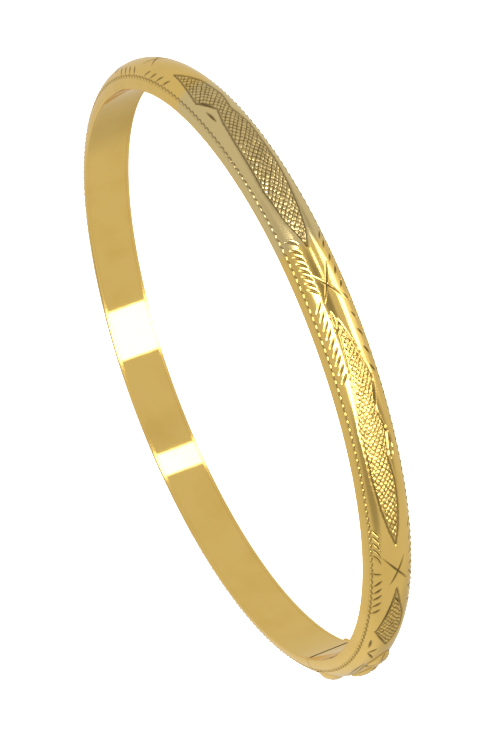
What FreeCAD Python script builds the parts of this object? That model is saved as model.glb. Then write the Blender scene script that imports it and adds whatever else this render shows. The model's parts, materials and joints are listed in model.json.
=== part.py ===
"""Hinged half-round bangle bracelet with a tongue clasp and a figure-of-eight safety catch.

Lengths are in millimetres. The bangle lies flat: +Z is the axis of its wrist opening, and the
origin is on that axis at the middle of the band's width. The hinge is on the -X side and the
clasp is near the +X side. The near half runs from the clasp through +Y to the hinge, and the
far half runs from the hinge through -Y back to the clasp.
"""
import FreeCAD, Part
import math
import os

from FreeCAD import Vector

# Driving dimensions of the band.
INNER_RADIUS = 29.0
BAND_WIDTH = 4.78
BAND_THICKNESS = 2.4
SHELL_WALL = 0.35
RIM_LAND = 0.25
RIM_TURN_IN = 0.34
LINER_WALL = 0.30
SEAM_GAP = 0.06

# Hinge, on the -X side.
PIN_RADIUS = 0.28
PIN_CLEARANCE = 0.03
KNUCKLE_RADIUS = 0.70
KNUCKLE_CLEARANCE = 0.10
HINGE_HALF_WIDTH = 1.50
MIDDLE_HALF_WIDTH = 0.55
KNUCKLE_SIDE_GAP = 0.05
WEB_OUTWARD = 0.30
WEB_INWARD = 0.55
WEB_REACH = 1.0
HINGE_AXIS_RADIUS = 30.6
HINGE_BLOCK_LENGTH = 2.2
RELIEF_ANGLE = 33.0
SWEEP_CLEARANCE = 0.02

# Clasp, turned clockwise from +X by CLASP_ANGLE.
CLASP_ANGLE = 7.0
PLATE_THICKNESS = 0.40
LEAF_THICKNESS = 0.25
LEAF_HALF_WIDTH = 0.85
BASE_HEIGHT = 29.45
TONGUE_LENGTH = 4.6
SLOT_BOTTOM = 29.38
SLOT_TOP = 30.30
SLOT_HALF_WIDTH = 0.95
CATCH_HEIGHT = 30.34
CATCH_CLEARANCE = 0.06
FOLD_GAP = 0.06
RAIL_THICKNESS = 0.25
RAIL_LENGTH = 3.6

# Thumb piece, on the +Z flank just past the clasp.
PAD_SINK = 0.05
PAD_RISE = 0.50
PAD_EDGE = 0.20
PAD_CENTRE_Y = 1.9
PAD_CENTRE_Z = 1.0
PAD_HALF_LENGTH = 1.7
PAD_HALF_WIDTH = 0.9
NOTCH_CLEARANCE = 0.08
NOTCH_DEPTH = 0.50
NOTCH_FLOOR = 29.95
STEM_Y = (0.9, 1.9)
STEM_Z = (0.15, 0.75)
STEM_NOTCH_Z = (0.0, 0.9)

# Safety catch, below the -Z rim.
WIRE_RADIUS = 0.25
RIM_CLEARANCE = 0.06
SAFETY_RADIUS = 30.12
PIVOT_Y = 2.9
STAPLE_LOOP_RADIUS = 0.78
KNOB_LOOP_RADIUS = 0.88
KNOB_Y = -1.9
NECK_HALF_GAP = 0.36
STAPLE_WIRE_RADIUS = 0.18
STAPLE_CLEARANCE = 0.07
KNOB_STEM_RADIUS = 0.28
KNOB_BALL_RADIUS = 0.50
KNOB_DROP = 0.15

HALF_WIDTH = BAND_WIDTH / 2
OUTER_RADIUS = INNER_RADIUS + BAND_THICKNESS
LINER_OUTER = INNER_RADIUS + LINER_WALL
LINER_HALF_WIDTH = HALF_WIDTH - RIM_TURN_IN
CAVITY_TOP = OUTER_RADIUS - SHELL_WALL
CAVITY_SHOULDER = INNER_RADIUS + SHELL_WALL
FOLD_RADIUS = (LEAF_THICKNESS * 2 + FOLD_GAP) / 2
FOLD_HEIGHT = BASE_HEIGHT + FOLD_RADIUS
Z_AXIS = Vector(0, 0, 1)


def box(x_range, y_range, z_range):
    """A box between two values on each axis."""
    size = [high - low for low, high in (x_range, y_range, z_range)]
    return Part.makeBox(*size, Vector(x_range[0], y_range[0], z_range[0]))


def prism(points, z_range):
    """Extrude a closed outline of (x, y) points along Z."""
    low, high = z_range
    corners = [Vector(x, y, low) for x, y in points]
    outline = Part.makePolygon(corners + corners[:1])
    return Part.Face(outline).extrude(Vector(0, 0, high - low))


def fuse(shapes):
    """Join shapes into one clean solid."""
    whole = shapes[0]
    for shape in shapes[1:]:
        whole = whole.fuse(shape)
    return whole.removeSplitter()


def d_profile(shoulder, top, half_width):
    """The dome of a half-round section in the XZ plane: an arc over two shoulders."""
    return Part.Arc(
        Vector(shoulder, 0, -half_width), Vector(top, 0, 0), Vector(shoulder, 0, half_width)
    ).toShape()


def turn(edges, start, sweep):
    """Close the edges into a face and revolve it round Z from a start angle."""
    face = Part.Face(Part.Wire(edges))
    face.rotate(Vector(), Z_AXIS, start)
    return face.revolve(Vector(), Z_AXIS, sweep)


def path(*points):
    """Straight edges through (radius, height) points in the XZ plane."""
    corners = [Vector(radius, 0, height) for radius, height in points]
    return [Part.makeLine(a, b) for a, b in zip(corners, corners[1:])]


def dome_solid(start, sweep, grow=0.0):
    """The band's whole half-round section as a solid, grown outwards by an offset."""
    shoulder = INNER_RADIUS + RIM_LAND
    half = HALF_WIDTH + grow
    edges = path((shoulder, half), (INNER_RADIUS, half), (INNER_RADIUS, -half), (shoulder, -half))
    return turn(edges + [d_profile(shoulder, OUTER_RADIUS + grow, half)], start, sweep)


def cavity_solid(start, sweep):
    """The hollow between the liner and the shell."""
    half = LINER_HALF_WIDTH
    edges = path(
        (CAVITY_SHOULDER, half), (LINER_OUTER, half), (LINER_OUTER, -half), (CAVITY_SHOULDER, -half)
    )
    return turn(edges + [d_profile(CAVITY_SHOULDER, CAVITY_TOP, half)], start, sweep)


def liner_solid(start, sweep):
    """The flat inner band between the shell's turned-in rims."""
    half = LINER_HALF_WIDTH
    edges = path(
        (INNER_RADIUS, -half), (LINER_OUTER, -half), (LINER_OUTER, half), (INNER_RADIUS, half),
        (INNER_RADIUS, -half),
    )
    return turn(edges, start, sweep)


def shell_solid(start, sweep):
    """The domed shell with its rims, open towards the liner."""
    solid = dome_solid(start, sweep)
    return solid.cut(cavity_solid(start, sweep)).cut(liner_solid(start, sweep))


def at_clasp(shape):
    """Turn a shape built on the +X axis to the clasp's place on the ring."""
    turned = shape.copy()
    turned.rotate(Vector(), Z_AXIS, -CLASP_ANGLE)
    return turned


def hinge_cylinder(radius, low, high):
    """A cylinder on the hinge's axis."""
    return Part.makeCylinder(radius, high - low, Vector(-HINGE_AXIS_RADIUS, 0, low), Z_AXIS)


def hinge_relief(side):
    """The wedge outside the hinge's axis that lets a half turn; side is +1 near, -1 far."""
    reach = 4.0
    angle = math.radians(RELIEF_ANGLE)
    axis = (-HINGE_AXIS_RADIUS, 0.0)
    tip = (axis[0] - reach * math.cos(angle), side * reach * math.sin(angle))
    level = (axis[0] - reach, -side * reach)
    inner = (axis[0], -side * reach)
    return prism([axis, tip, level, inner], (-reach, reach))


def end_cutter():
    """Everything that both halves lose at the hinge: the seam's gap and the barrel's pocket."""
    seam = box((-40, 0), (-SEAM_GAP / 2, SEAM_GAP / 2), (-4, 4))
    pocket_half = HINGE_HALF_WIDTH + KNUCKLE_SIDE_GAP
    pocket = hinge_cylinder(KNUCKLE_RADIUS + KNUCKLE_CLEARANCE, -pocket_half, pocket_half)
    return [seam, pocket]


def half_pieces(maker, near):
    """One half's share of a revolved shape, cut clear at the hinge and at the clasp."""
    if near:
        solid = maker(-CLASP_ANGLE, 180 + CLASP_ANGLE)
    else:
        solid = maker(180, 180 - CLASP_ANGLE)
    for cutter in end_cutter():
        solid = solid.cut(cutter)
    solid = solid.cut(hinge_relief(1 if near else -1))
    clasp_seam = at_clasp(box((0, 40), (-SEAM_GAP / 2, SEAM_GAP / 2), (-4, 4)))
    return solid.cut(clasp_seam)


def hinge_block(near):
    """The solid end of one half, filling its hollow beside the hinge."""
    side = 1 if near else -1
    reach = (0, HINGE_BLOCK_LENGTH) if near else (-HINGE_BLOCK_LENGTH, 0)
    block = cavity_solid(170, 20).common(box((-40, 0), reach, (-4, 4)))
    for cutter in end_cutter():
        block = block.cut(cutter)
    return block.cut(hinge_relief(side))


def knuckle(low, high, side, neighbours):
    """A knuckle with a web to its own half's block, filed to the dome of the band."""
    barrel = hinge_cylinder(KNUCKLE_RADIUS, low, high)
    web_x = (-HINGE_AXIS_RADIUS - WEB_OUTWARD, -HINGE_AXIS_RADIUS + WEB_INWARD)
    web_y = (0, WEB_REACH) if side > 0 else (-WEB_REACH, 0)
    web = box(web_x, web_y, (low, high))
    solid = barrel.fuse(web).common(dome_solid(170, 20, -SWEEP_CLEARANCE))
    for neighbour in neighbours:
        solid = solid.cut(neighbour)
    return solid.cut(hinge_cylinder(PIN_RADIUS, low - 1, high + 1)).removeSplitter()


def make_hinge(near_end, far_end):
    """The two outer knuckles, the middle knuckle with a running bore, and the pin."""
    outer = []
    for sign in (-1, 1):
        span = sorted((sign * (MIDDLE_HALF_WIDTH + KNUCKLE_SIDE_GAP), sign * HINGE_HALF_WIDTH))
        outer.append(knuckle(span[0], span[1], 1, near_end))
    middle = knuckle(-MIDDLE_HALF_WIDTH, MIDDLE_HALF_WIDTH, -1, far_end)
    bore = hinge_cylinder(PIN_RADIUS + PIN_CLEARANCE, -MIDDLE_HALF_WIDTH, MIDDLE_HALF_WIDTH)
    pin = hinge_cylinder(PIN_RADIUS, -HINGE_HALF_WIDTH, HINGE_HALF_WIDTH)
    pin = pin.common(dome_solid(170, 20, -SWEEP_CLEARANCE))
    return {
        "near_knuckles": Part.makeCompound(outer),
        "far_knuckle": middle.cut(bore),
        "hinge_pin": pin,
    }


def end_plate(near):
    """A plate that closes the hollow at the clasp, before it is turned into place."""
    inner_face = SEAM_GAP / 2
    reach = (inner_face, inner_face + PLATE_THICKNESS)
    if not near:
        reach = (-reach[1], -reach[0])
    return cavity_solid(-5, 10).common(box((0, 40), reach, (-4, 4)))


def make_catch():
    """The slotted catch plate and the two rails that steer the tongue behind it."""
    slot = box((SLOT_BOTTOM, SLOT_TOP), (0, 1), (-SLOT_HALF_WIDTH, SLOT_HALF_WIDTH))
    stem_notch = box((SLOT_BOTTOM, OUTER_RADIUS), (0, 1), STEM_NOTCH_Z)
    plate = end_plate(True).cut(slot).cut(stem_notch).cut(pad_notch())
    rail_start = SEAM_GAP / 2 + PLATE_THICKNESS
    rails = []
    for sign in (-1, 1):
        z_range = sorted((sign * SLOT_HALF_WIDTH, sign * (SLOT_HALF_WIDTH + RAIL_THICKNESS)))
        rail = box((LINER_OUTER, SLOT_TOP), (rail_start, rail_start + RAIL_LENGTH), z_range)
        rails.append(rail.cut(liner_solid(-5, 20)))
    return {"catch_plate": plate, "catch_guides": Part.makeCompound(rails)}


def make_tongue():
    """The tongue's fixed leaf with its bend, and the sprung leaf that hooks behind the plate."""
    z_range = (-LEAF_HALF_WIDTH, LEAF_HALF_WIDTH)
    root = -SEAM_GAP / 2
    leaf = box((BASE_HEIGHT, BASE_HEIGHT + LEAF_THICKNESS), (root, TONGUE_LENGTH), z_range)
    bend = Part.makeCylinder(
        FOLD_RADIUS, 2 * LEAF_HALF_WIDTH, Vector(FOLD_HEIGHT, TONGUE_LENGTH, z_range[0]), Z_AXIS
    )
    ahead = box((BASE_HEIGHT - 1, BASE_HEIGHT + 2), (TONGUE_LENGTH, TONGUE_LENGTH + 1), z_range)
    base = fuse([leaf, bend.common(ahead)])

    hook_y = SEAM_GAP / 2 + PLATE_THICKNESS + CATCH_CLEARANCE
    low_end = BASE_HEIGHT + LEAF_THICKNESS + FOLD_GAP
    tip_y = TONGUE_LENGTH - FOLD_GAP
    outline = [
        (low_end, tip_y),
        (low_end + LEAF_THICKNESS, tip_y),
        (CATCH_HEIGHT + LEAF_THICKNESS, hook_y),
        (CATCH_HEIGHT, hook_y),
    ]
    return {"tongue_base": base, "tongue_spring": prism(outline, z_range)}


def leaf_top(y):
    """Height of the sprung leaf's outer face at a distance past the seam."""
    low_end = BASE_HEIGHT + 2 * LEAF_THICKNESS + FOLD_GAP
    tip_y = TONGUE_LENGTH - FOLD_GAP
    hook_y = SEAM_GAP / 2 + PLATE_THICKNESS + CATCH_CLEARANCE
    share = (tip_y - y) / (tip_y - hook_y)
    return low_end + share * (CATCH_HEIGHT + LEAF_THICKNESS - low_end)


def pad_column(grow, bottom):
    """An upright column with the pad's oval outline, grown by a clearance."""
    centre = Vector(bottom, PAD_CENTRE_Y, PAD_CENTRE_Z)
    oval = Part.Ellipse(
        centre + Vector(0, PAD_HALF_LENGTH + grow, 0),
        centre + Vector(0, 0, PAD_HALF_WIDTH + grow),
        centre,
    )
    return Part.Face(Part.Wire([oval.toShape()])).extrude(Vector(2 * BAND_THICKNESS, 0, 0))


def pad_notch():
    """The notch that the pad sinks into, open towards the seam so that the pad can leave it."""
    half_width = PAD_HALF_WIDTH + NOTCH_CLEARANCE
    mouth = box(
        (NOTCH_FLOOR, NOTCH_FLOOR + 2 * BAND_THICKNESS),
        (-1, PAD_CENTRE_Y),
        (PAD_CENTRE_Z - half_width, PAD_CENTRE_Z + half_width),
    )
    notch = pad_column(NOTCH_CLEARANCE, NOTCH_FLOOR).fuse(mouth)
    return notch.cut(dome_solid(-5, 20, -NOTCH_DEPTH))


def make_thumb_piece():
    """An oval pad in the dome's notch, on a stem standing on the sprung leaf."""
    near_y, far_y = STEM_Y
    outline = [
        (leaf_top(near_y), near_y), (OUTER_RADIUS, near_y), (OUTER_RADIUS, far_y),
        (leaf_top(far_y), far_y),
    ]
    layer = dome_solid(-5, 20, PAD_RISE).cut(dome_solid(-6, 22, -PAD_SINK))
    pad = layer.common(pad_column(0, NOTCH_FLOOR))
    crown = OUTER_RADIUS + PAD_RISE - PAD_EDGE
    rim = [edge for edge in pad.Edges if edge.BoundBox.XMax > crown]
    return fuse([pad.makeFillet(PAD_EDGE, rim), prism(outline, STEM_Z)])


def wire(start, end, radius):
    """A straight length of round wire."""
    run = end - start
    return Part.makeCylinder(radius, run.Length, start, run)


def make_safety():
    """The figure-of-eight wire, the staple it hinges in and the knob that it snaps over."""
    level = -(HALF_WIDTH + RIM_CLEARANCE + WIRE_RADIUS)
    staple_y = PIVOT_Y - STAPLE_LOOP_RADIUS
    loops = [
        Part.makeTorus(STAPLE_LOOP_RADIUS, WIRE_RADIUS, Vector(SAFETY_RADIUS, staple_y, level)),
        Part.makeTorus(KNOB_LOOP_RADIUS, WIRE_RADIUS, Vector(SAFETY_RADIUS, KNOB_Y, level)),
    ]
    knob_end = KNOB_Y + math.sqrt(KNOB_LOOP_RADIUS**2 - NECK_HALF_GAP**2)
    staple_end = staple_y - math.sqrt(STAPLE_LOOP_RADIUS**2 - NECK_HALF_GAP**2)
    for side in (-NECK_HALF_GAP, NECK_HALF_GAP):
        x = SAFETY_RADIUS + side
        loops.append(wire(Vector(x, knob_end, level), Vector(x, staple_end, level), WIRE_RADIUS))

    band = dome_solid(-10, 20)
    root = -HALF_WIDTH / 2
    reach = WIRE_RADIUS + STAPLE_CLEARANCE + STAPLE_WIRE_RADIUS
    bar = [Vector(SAFETY_RADIUS, PIVOT_Y + side * reach, level - reach) for side in (-1, 1)]
    staple = [wire(bar[0], bar[1], STAPLE_WIRE_RADIUS)]
    for corner in bar:
        top = Vector(corner.x, corner.y, root)
        staple.append(wire(corner, top, STAPLE_WIRE_RADIUS).cut(band))
        staple.append(Part.makeSphere(STAPLE_WIRE_RADIUS, corner))

    ball = Vector(SAFETY_RADIUS, KNOB_Y, level - KNOB_DROP)
    stem = wire(ball, Vector(ball.x, ball.y, root), KNOB_STEM_RADIUS).cut(band)
    return {
        "figure_eight": fuse(loops),
        "safety_staple": fuse(staple),
        "safety_knob": fuse([Part.makeSphere(KNOB_BALL_RADIUS, ball), stem]),
    }


def make_halves():
    """The shells, liners and hinge blocks of both halves."""
    pieces = {}
    ends = []
    for name, near in (("near", True), ("far", False)):
        pieces[name + "_shell"] = half_pieces(shell_solid, near)
        pieces[name + "_liner"] = half_pieces(liner_solid, near)
        pieces[name + "_hinge_block"] = hinge_block(near)
        ends.append([pieces[name + "_shell"], pieces[name + "_hinge_block"]])
    pieces["near_shell"] = pieces["near_shell"].cut(at_clasp(pad_notch()))
    pieces.update(make_hinge(*ends))
    return pieces


def main():
    """Build every piece and write one STEP file for each."""
    os.makedirs("parts", exist_ok=True)
    pieces = make_halves()
    clasp = {"tongue_plate": end_plate(False), "thumb_piece": make_thumb_piece()}
    clasp.update(make_catch())
    clasp.update(make_tongue())
    clasp.update(make_safety())
    for name, shape in clasp.items():
        pieces[name] = at_clasp(shape)
    for name, shape in pieces.items():
        shape.exportStep("parts/" + name + ".step")


main()
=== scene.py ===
"""Looks for a hinged, half-round gold bangle with a hand-engraved outside.

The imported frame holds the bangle's real parts. This add-on builds the engraved shells, the
polished inner bands and the thumb pad in their places, gives every part its gold, and sets up a
pale table with soft studio light.
"""
import json
import math

import bmesh
import bpy
import numpy as np
from bpy.props import FloatProperty, FloatVectorProperty, IntProperty, PointerProperty
from mathutils import Matrix, Vector


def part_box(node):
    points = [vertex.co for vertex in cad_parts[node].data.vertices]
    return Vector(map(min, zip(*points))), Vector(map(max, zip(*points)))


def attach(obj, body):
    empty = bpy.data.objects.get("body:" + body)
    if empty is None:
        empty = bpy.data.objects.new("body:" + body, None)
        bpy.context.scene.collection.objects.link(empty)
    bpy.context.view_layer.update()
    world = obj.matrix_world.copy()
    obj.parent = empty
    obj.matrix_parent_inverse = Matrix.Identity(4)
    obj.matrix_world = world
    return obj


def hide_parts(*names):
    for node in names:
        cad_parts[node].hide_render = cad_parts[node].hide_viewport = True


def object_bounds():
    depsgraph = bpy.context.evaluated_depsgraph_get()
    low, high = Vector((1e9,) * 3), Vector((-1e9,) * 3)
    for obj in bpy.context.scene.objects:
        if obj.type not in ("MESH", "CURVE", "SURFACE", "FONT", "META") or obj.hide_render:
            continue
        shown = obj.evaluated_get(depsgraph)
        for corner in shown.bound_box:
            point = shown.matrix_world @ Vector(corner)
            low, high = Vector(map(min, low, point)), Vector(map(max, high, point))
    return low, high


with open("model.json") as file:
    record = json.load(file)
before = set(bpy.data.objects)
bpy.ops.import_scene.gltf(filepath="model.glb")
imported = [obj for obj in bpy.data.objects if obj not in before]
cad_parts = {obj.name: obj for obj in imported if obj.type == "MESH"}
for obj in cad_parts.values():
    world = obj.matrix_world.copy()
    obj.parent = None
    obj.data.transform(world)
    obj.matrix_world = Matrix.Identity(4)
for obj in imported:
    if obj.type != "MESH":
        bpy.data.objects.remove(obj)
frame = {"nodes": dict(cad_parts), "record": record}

bl_info = {
    "name": "Engraved bangle",
    "version": (1, 0, 0),
    "blender": (4, 5, 0),
    "location": "3D View > Sidebar > Bangle",
    "description": "Builds an engraved, hinged gold bangle around its packed frame",
    "category": "Object",
}

MM = 0.001
CAD_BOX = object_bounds()
MOUNTS = {mount["name"]: mount for mount in frame["record"]["mounts"]}
JOINTS = {joint["name"]: joint for joint in frame["record"]["behaviour"]["joints"]}

# The band's section, read from the frame, in millimetres.
INNER_RADIUS = MOUNTS["wrist_opening"]["dims"]["r_mm"]
OUTER_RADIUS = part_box("near_shell")[1].y / MM
HALF_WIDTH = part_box("near_shell")[1].z / MM
LINER_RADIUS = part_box("near_liner")[1].y / MM
LINER_HALF_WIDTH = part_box("near_liner")[1].z / MM
CLASP_ANGLE = math.degrees(math.atan2(*JOINTS["safety_swing"]["axis"][1::-1]))
HINGE_RADIUS = -JOINTS["bangle_open"]["pos_m"][0] / MM

# The shells and inner bands, in millimetres and degrees.
RIM_LAND = 0.25
RIM_SOFTNESS = 0.05
SHELL_WALL = 0.35
BAND_SOFTNESS = 0.02
BAND_STEP = math.radians(0.5)
HINGE_SEAM = 0.02
CLASP_SEAM = 0.06
BAND_SEAM = 0.34
HINGE_ANGLE = 180.0
NEAR_JOINS = (2.16, 61.2, 118.8, 176.4)
FAR_JOINS = (183.6, 240.5, 297.4)

# The hinge's pocket and the thumb pad with its stem and notch, in millimetres.
POCKET_RADIUS = 0.80
POCKET_HALF_WIDTH = 1.55
RELIEF_ANGLE = math.radians(33.0)
RELIEF_REACH = 4.0
NOTCH_FLOOR = 29.95
NOTCH_CLEARANCE = 0.08
NOTCH_HEIGHT = 4.0
NOTCH_OPEN_SHARE = 3.0
PAD_RISE = 0.50
PAD_SINK = 0.05
PAD_FALL = 0.36
PAD_CREST = 0.5
STEM_LENGTH = 1.02
STEM_DEPTH = 0.6
STEM_PLACE = (1.2, 0.45)

# The engraved layout. A place on the dome is its angle round the bangle in degrees and its
# height over the band's middle in millimetres.
CROSSES = (
    (((43.7, 0.8), (50.1, -0.8)), ((43.9, -1.1), (50.5, 1.4))),
    (((97.2, 0.9), (104.3, -0.94)), ((97.2, -1.1), (102.5, 1.1))),
    (((163.8, 1.1), (168.4, -0.9)), ((164.0, -0.9), (168.0, 1.15))),
    (((219.0, 0.8), (225.4, -0.8)), ((219.2, -1.1), (225.6, 1.3))),
    (((274.6, 0.9), (281.2, -0.9)), ((274.8, -1.1), (280.2, 1.1))),
    (((326.0, 0.8), (332.4, -0.8)), ((326.2, -1.1), (331.8, 1.3))),
)
# The fans of leaf cuts on the flanks: first angle, last angle, number of cuts, the heights
# they run between, and the angle that each one leans by.
FANS = (
    (36.5, 44.0, 5, 2.0, 1.35, 2.3), (46.4, 46.4, 1, 2.1, 1.40, 0.5),
    (49.8, 55.5, 5, 1.45, 1.95, 1.6),
    (84.5, 97.0, 9, 1.75, 1.15, 1.7), (99.8, 107.0, 7, 0.95, 1.70, 1.5),
    (108.8, 108.8, 1, 0.85, 1.80, 1.7),
    (155.0, 163.5, 4, 1.45, 2.0, 1.9), (170.0, 177.0, 4, 2.0, 1.35, 1.9),
    (212.0, 219.5, 6, 1.90, 1.20, 1.6), (225.0, 232.0, 6, 1.20, 1.90, 1.6),
    (266.0, 274.0, 7, 1.80, 1.10, 1.6), (281.0, 288.0, 6, 1.10, 1.80, 1.6),
    (317.5, 325.5, 6, 1.95, 1.35, 1.6), (331.0, 338.0, 5, 1.40, 1.95, 1.6),
)
# The bold cuts that finish the panels' corners, each from place to place.
BOLD_CUTS = (
    ((139.4, 0.45), (144.2, 1.50)), ((136.8, 1.28), (140.4, 1.40)), ((25.0, 0.05), (30.2, 1.50)),
    ((30.2, 1.42), (42.8, -0.05)), ((38.0, -0.50), (40.4, 0.25)), ((23.8, 1.55), (27.2, 1.56)),
    ((78.2, -0.40), (83.0, -1.10)), ((83.0, -1.10), (86.4, -0.85)), ((92.0, 0.72), (95.8, 0.70)),
    ((69.0, -0.80), (70.4, -1.20)), ((70.4, -1.22), (73.4, -1.15)), ((73.4, -1.15), (74.6, -0.75)),
    ((19.0, 0.70), (21.6, 1.45)), ((21.6, 1.45), (24.0, 0.80)), ((13.0, 1.00), (17.0, 0.30)),
    ((216.5, 0.2), (218.6, 1.1)), ((258.0, 1.25), (261.5, 1.40)), ((309.0, -0.45), (313.5, -1.05)),
    ((341.0, 0.9), (347.0, 0.2)), ((341.0, -0.9), (347.0, -0.2)),
)
# The two kinds of hatched panel, each as its upper and lower outline from tip to tip.
LONG_PANEL = (
    ((0, 0.2), (3, 0.6), (5.5, 1.0), (12, 1.35), (23, 1.15), (28.5, 0.9), (32, 0.5), (36.5, 1.5),
     (42, 1.15), (45, 0.95), (47.5, 0.85)),
    ((0, 0.2), (3, -0.4), (7, -0.85), (12, -1.2), (17, -1.4), (27, -1.4), (31.5, -0.75),
     (36, -1.1), (42, -0.5), (47.5, 0.85)),
)
SHORT_PANEL = (
    ((0, 0.05), (3.5, 0.6), (7.5, 1.05), (13.5, 1.35), (22.5, 1.4), (28, 1.1), (34, 0.8),
     (39.5, 0.55), (41.2, 0.3)),
    ((0, 0.05), (3.5, -0.4), (7.5, -0.67), (12, -0.8), (16.5, -0.5), (22, -0.95), (25.2, -0.4),
     (29.8, -0.98), (31.5, -1.07), (33.5, -0.8), (38, -0.2), (41.2, 0.3)),
)
HALF_PANEL = (
    ((0, 0.1), (2.4, 0.75), (4.9, 1.45), (5.4, 1.35), (10, 0.85), (14, 0.4), (17.5, 0.0)),
    ((0, 0.1), (3, -0.6), (5.5, -1.0), (9, -1.0), (13, -0.5), (17.5, 0.0)),
)
# The half width, depth and bow of a cross's cuts, and the half width and depth of a bold cut.
CROSS_CUT = (0.14, 0.12, 0.06)
BOLD_CUT = (0.17, 0.14)
# The worn scroll beside the clasp: where it starts and ends, its half width, depth and bow.
SCROLL = ((5.5, 1.12), (16.5, 1.15), 0.13, 0.07, 0.20)
# The leaf bosses beside the clasp: place, half length, half width and rise.
BOSSES = (((8.0, -0.55), 3.0, 1.15, 0.38), ((17.4, -0.35), 2.0, 1.05, 0.36))
# Each panel on the band: its kind, where it starts, and its length against the kind's own.
PANELS = (
    (HALF_PANEL, 25.1, 1.0), (SHORT_PANEL, 52.8, 1.0), (LONG_PANEL, 107.3, 1.0),
    (HALF_PANEL, 186.0, 1.45), (LONG_PANEL, 227.5, 0.9), (SHORT_PANEL, 283.5, 0.95),
)
# The pale zone round a long panel is a painted reflection: a paler, greyer gold is put into the
# colour where the band reflects grey light. Its middle along the panel, its reach and its soft
# edge.
REFLECTION_MIDDLE = 0.44
REFLECTION_REACH = 21.0
REFLECTION_EDGE = 1.5

# Each finish: the share of the light and of the deep gold, the roughness, the relief of the
# wear in metres, and the scale of the wear.
FINISHES = {
    "polished_gold": (1.0, 1.0, 0.04, 0.000002, 1.0),
    "plain_gold": (1.0, 1.0, 0.16, 0.00001, 1.0),
    "spring_gold": (0.92, 0.9, 0.26, 0.00001, 1.4),
    # The next finish is painted shade, not a finish of the metal: gold cut to a fifth and a tenth
    # of its brightness.
    "shaded_gold": (0.20, 0.10, 0.45, 0.00001, 1.0),
    "wire_gold": (1.0, 1.0, 0.13, 0.000008, 1.6),
    "pin_metal": (0.9, 0.85, 0.22, 0.000008, 1.8),
}
# The plates that stand in the seam's shade. Their gold is painted shade: it is darkened far below
# the metal's own colour so that the seam reads dark.
PAINTED_SHADE_NODES = ("catch_plate", "tongue_plate")

# The room's soft patches: azimuth and elevation, inner and outer angle, and how much brighter
# or darker.
PATCHES = (
    ((-60, 10), 5, 34, 0.12),
    ((-50, -22), 5, 30, -0.15),
    ((100, -74), 6, 24, 0.45),
    ((105, 4), 7, 23, -0.40),
    ((67, 2), 5, 16, -0.25),
    ((20, 50), 6, 24, -0.34),
    ((150, 25), 6, 26, -0.15),
    ((40, -55), 6, 22, -0.30),
    ((150, -55), 6, 22, -0.25),
    ((160, 70), 6, 20, -0.12),
)
# The softboxes: azimuth, width, lowest and highest elevation, and their share of the brightness.
SOFTBOXES = (
    (63, 20, -36, 16, 1.0),
    (117, 9, -21, -14, 1.0),
    (86, 84, 29, 53, 1.7),
    (103, 62, -66, -45, 0.85),
)
OVERHEAD_PLACE = (0.1, 0.2, 0.9)


class BangleSizes(bpy.types.PropertyGroup):
    """How finely the band is built."""

    arc_step: FloatProperty(
        name="Step round the band", description="Angle between rows of the shell's mesh",
        default=math.radians(0.13), subtype="ANGLE",
    )
    dome_columns: IntProperty(
        name="Columns across the dome", description="Faces across the engraved dome", default=112
    )


class BangleEngraving(bpy.types.PropertyGroup):
    """The graver's cuts, in millimetres."""

    outline_width: FloatProperty(
        name="Outline width", description="Half width of the cut round a panel", default=0.15
    )
    outline_depth: FloatProperty(
        name="Outline depth", description="Depth of the cut round a panel", default=0.12
    )
    hatch_length: FloatProperty(
        name="Hatch length", description="Length of one hatched diamond", default=0.66
    )
    hatch_width: FloatProperty(
        name="Hatch width", description="Width of one hatched diamond", default=0.50
    )
    hatch_depth: FloatProperty(
        name="Hatch depth", description="Depth between the hatched diamonds", default=0.12
    )
    leaf_width: FloatProperty(
        name="Leaf cut width", description="Half width of a leaf cut", default=0.14
    )
    leaf_depth: FloatProperty(
        name="Leaf cut depth", description="Depth of a leaf cut", default=0.12
    )
    bead_pitch: FloatProperty(
        name="Bead pitch", description="Angle from one edge bead to the next",
        default=math.radians(1.44), subtype="ANGLE",
    )
    bead_height: FloatProperty(
        name="Bead height", description="Height of an edge bead over its groove", default=0.07
    )
    bead_level: FloatProperty(
        name="Bead level", description="Distance of the beads from the band's middle", default=2.06
    )


class BangleGold(bpy.types.PropertyGroup):
    """Colours and finish of the gold."""

    gold: FloatVectorProperty(
        name="Gold", description="Colour of the polished gold", subtype="COLOR",
        size=4, default=(0.88, 0.605, 0.175, 1.0),
    )
    gold_deep: FloatVectorProperty(
        name="Deep gold", description="Colour where the polish is thinner", subtype="COLOR",
        size=4, default=(0.82, 0.545, 0.14, 1.0),
    )
    patina: FloatVectorProperty(
        name="Patina", description="Colour left in the bottom of the cuts", subtype="COLOR",
        size=4, default=(0.105, 0.058, 0.012, 1.0),
    )
    hatch_gold: FloatVectorProperty(
        name="Hatched gold", description="Colour of the matt, hatched panels", subtype="COLOR",
        size=4, default=(0.80, 0.56, 0.19, 1.0),
    )
    # Painted reflection: the paler, greyer gold round the long panels stands in for grey light
    # reflected there.
    painted_reflection_gold: FloatVectorProperty(
        name="Pale gold", description="Colour round the long panels", subtype="COLOR",
        size=4, default=(0.77, 0.60, 0.275, 1.0),
    )


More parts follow.
